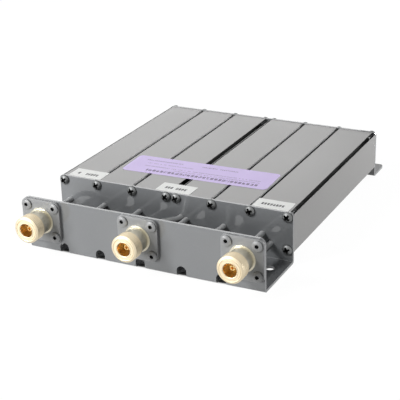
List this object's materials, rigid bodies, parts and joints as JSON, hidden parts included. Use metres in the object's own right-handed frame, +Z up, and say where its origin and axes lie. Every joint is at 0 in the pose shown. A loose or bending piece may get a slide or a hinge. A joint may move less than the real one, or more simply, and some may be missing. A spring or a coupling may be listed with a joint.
{
  "type": "cavity duplexer",
  "caption": "Flat grey mobile radio cavity duplexer: joined cavity blocks, a folded front bracket with coaxial jacks and a looped cable harness, and a slotted-screw tuning end.",
  "frame": {"origin": "middle of the footprint, at the height of the underside of the two brackets", "axes": "+X to the right for someone facing the connectors, +Y from the connectors to the tuning end, +Z up"},
  "size_m": [0.154, 0.2226, 0.0323],
  "materials": {
    "block_paint": "satin light grey paint",
    "bracket_paint": "glossy grey paint",
    "screw_steel": "plated steel",
    "plated_shell": "pale plating over brass",
    "insulator": "waxy white",
    "gold_contact": "gold plated",
    "rivet_paint": "grey paint over aluminium",
    "resonator_silver": "silver plated",
    "tuning_brass": "bare brass",
    "loop_copper": "silver-plated copper",
    "cable_paint": "grey paint over a solid jacket",
    "label_white": "matte vinyl",
    "label_lavender": "matte vinyl"
  },
  "bodies": {
    "chassis": {"left_cavity_block": "block_paint", "right_cavity_block": "block_paint", "front_bracket": "bracket_paint", "rear_bracket": "bracket_paint", "front_cover_screws": "screw_steel", "rear_cover_screws": "screw_steel", "low_connector_body": "plated_shell", "low_connector_insulator": "insulator", "low_connector_contact": "gold_contact", "low_connector_rivets": "rivet_paint", "antenna_connector_body": "plated_shell", "antenna_connector_insulator": "insulator", "antenna_connector_contact": "gold_contact", "antenna_connector_rivets": "rivet_paint", "high_connector_body": "plated_shell", "high_connector_insulator": "insulator", "high_connector_contact": "gold_contact", "high_connector_rivets": "rivet_paint", "resonator_1": "resonator_silver", "coupling_loop_1": "loop_copper", "resonator_2": "resonator_silver", "coupling_loop_2": "loop_copper", "resonator_3": "resonator_silver", "coupling_loop_3": "loop_copper", "resonator_4": "resonator_silver", "coupling_loop_4": "loop_copper", "resonator_5": "resonator_silver", "coupling_loop_5": "loop_copper", "resonator_6": "resonator_silver", "coupling_loop_6": "loop_copper", "tuning_bushings": "tuning_brass", "lock_nuts": "tuning_brass", "low_input_cable": "cable_paint", "link_cable_1_2": "cable_paint", "link_cable_2_3": "cable_paint", "antenna_low_cable": "cable_paint", "antenna_high_cable": "cable_paint", "link_cable_4_5": "cable_paint", "link_cable_5_6": "cable_paint", "high_input_cable": "cable_paint", "low_label": "label_white", "antenna_label": "label_white", "high_label": "label_white", "rating_label": "label_lavender"},
    "tuning_screw_1": {"tuning_screw_1": "tuning_brass"},
    "tuning_screw_2": {"tuning_screw_2": "tuning_brass"},
    "tuning_screw_3": {"tuning_screw_3": "tuning_brass"},
    "tuning_screw_4": {"tuning_screw_4": "tuning_brass"},
    "tuning_screw_5": {"tuning_screw_5": "tuning_brass"},
    "tuning_screw_6": {"tuning_screw_6": "tuning_brass"}
  },
  "joints": [
    {"name": "tuning_slide_1", "type": "slide", "parent": "chassis", "child": "tuning_screw_1", "axis": [0, 1, 0], "range_m": [-0.006, 0.006]},
    {"name": "tuning_slide_2", "type": "slide", "parent": "chassis", "child": "tuning_screw_2", "axis": [0, 1, 0], "range_m": [-0.006, 0.006]},
    {"name": "tuning_slide_3", "type": "slide", "parent": "chassis", "child": "tuning_screw_3", "axis": [0, 1, 0], "range_m": [-0.006, 0.006]},
    {"name": "tuning_slide_4", "type": "slide", "parent": "chassis", "child": "tuning_screw_4", "axis": [0, 1, 0], "range_m": [-0.006, 0.006]},
    {"name": "tuning_slide_5", "type": "slide", "parent": "chassis", "child": "tuning_screw_5", "axis": [0, 1, 0], "range_m": [-0.006, 0.006]},
    {"name": "tuning_slide_6", "type": "slide", "parent": "chassis", "child": "tuning_screw_6", "axis": [0, 1, 0], "range_m": [-0.006, 0.006]}
  ]
}
